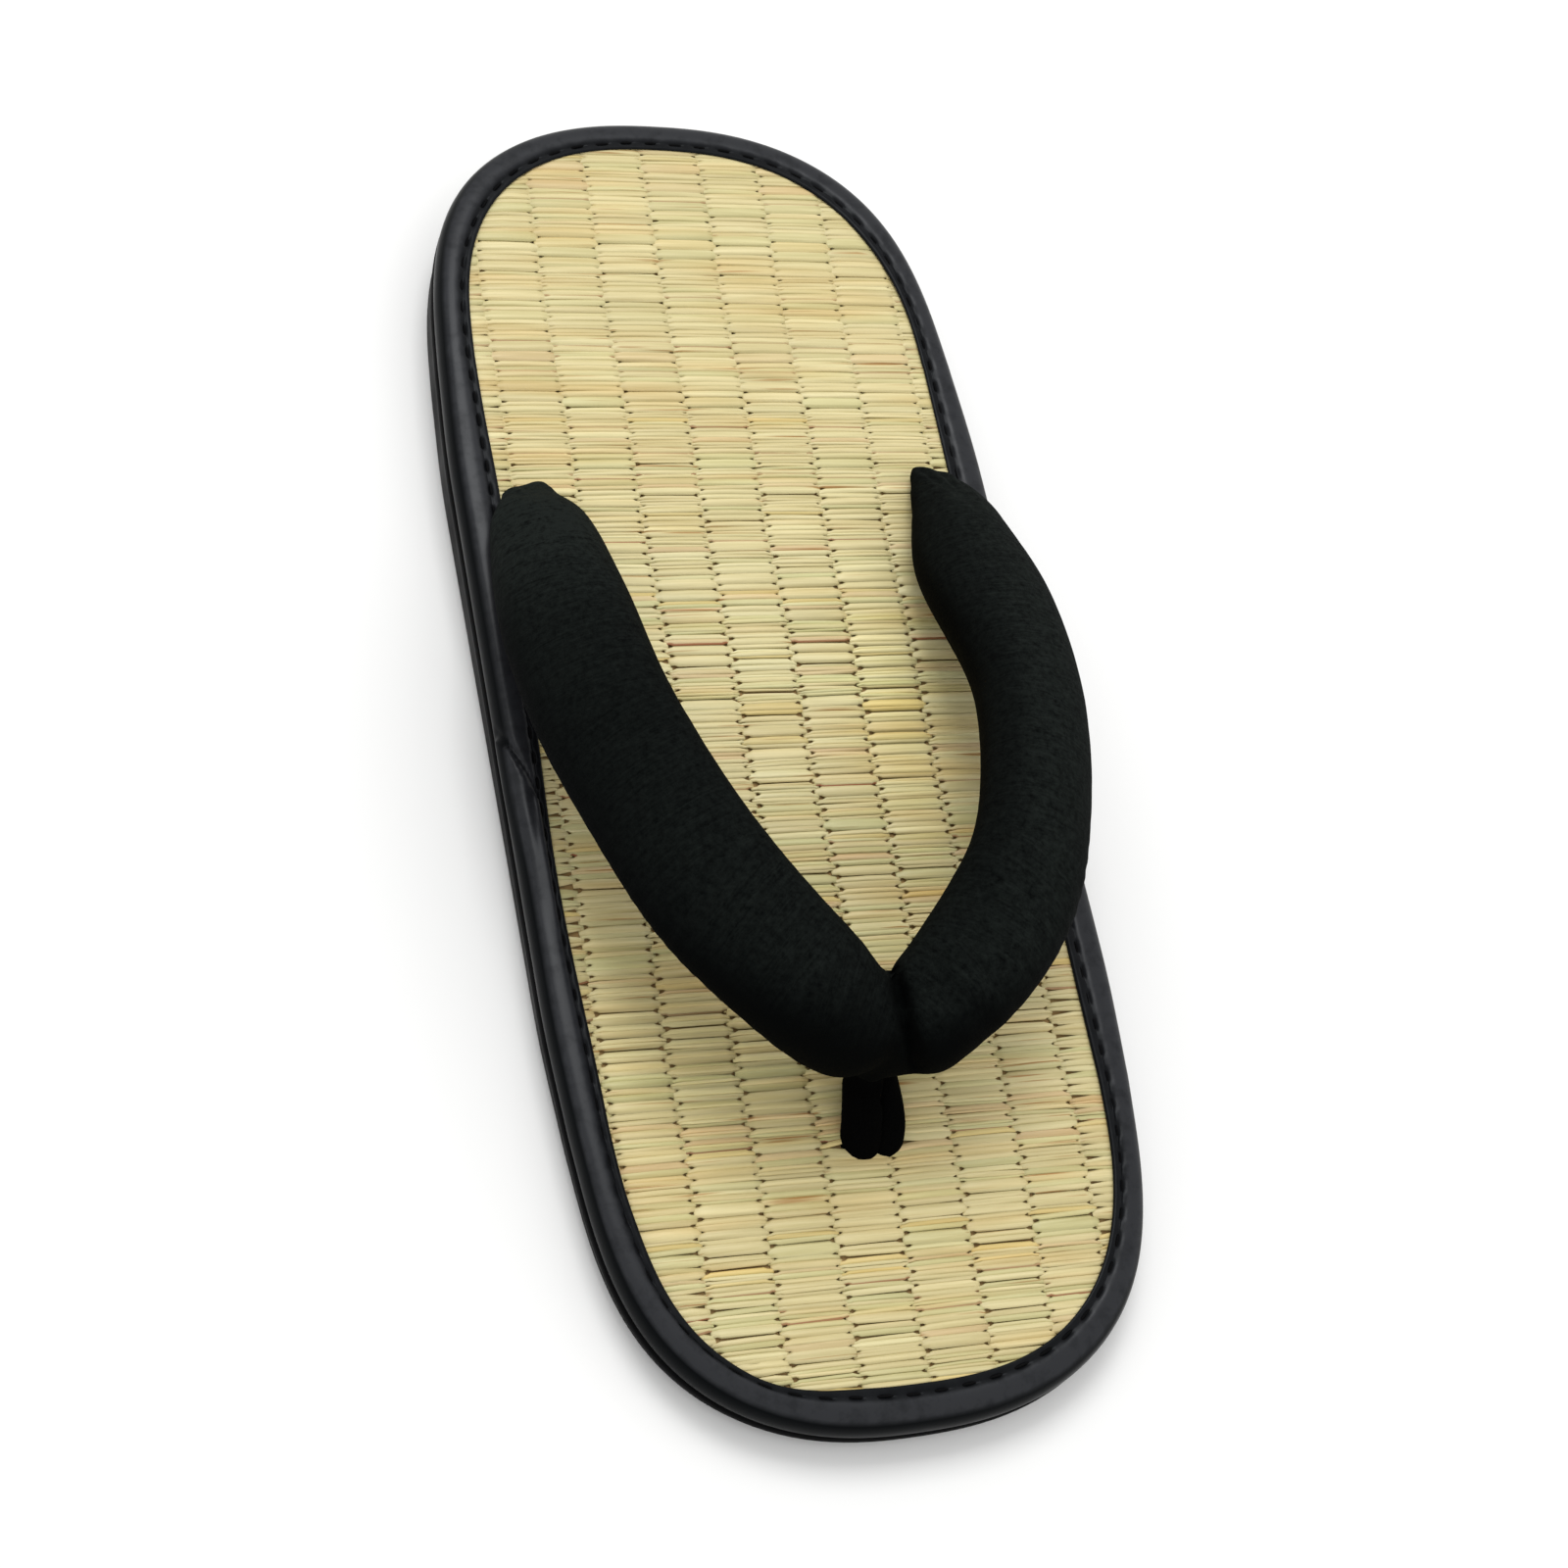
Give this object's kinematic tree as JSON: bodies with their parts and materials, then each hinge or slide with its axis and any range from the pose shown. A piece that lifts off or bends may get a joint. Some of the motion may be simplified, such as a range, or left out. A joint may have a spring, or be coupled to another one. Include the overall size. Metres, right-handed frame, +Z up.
{
  "type": "zori sandal",
  "caption": "Flat zori sandal: a rush mat footbed with a bound edge on a foam rubber wedge, a padded cloth strap and a velvet loop that goes between the toes.",
  "frame": {"origin": "on the floor, under the middle of the sole", "axes": "+Z up from the floor, +Y towards the heel and -Y towards the toe, +X across the sole"},
  "size_m": [0.1088, 0.2658, 0.0473],
  "materials": {
    "foam_rubber": "matt black foam rubber",
    "rush": "woven dried rush, straw yellow with a satin sheen",
    "vinyl": "black vinyl tape with a satin gloss",
    "cloth": "matt black ribbed cloth over padding",
    "velvet": "black velvet"
  },
  "bodies": {
    "root": {"outsole": "foam_rubber", "rush_footbed": "rush", "edge_binding": "vinyl", "strap": "cloth", "toe_loop": "velvet"}
  },
  "joints": []
}
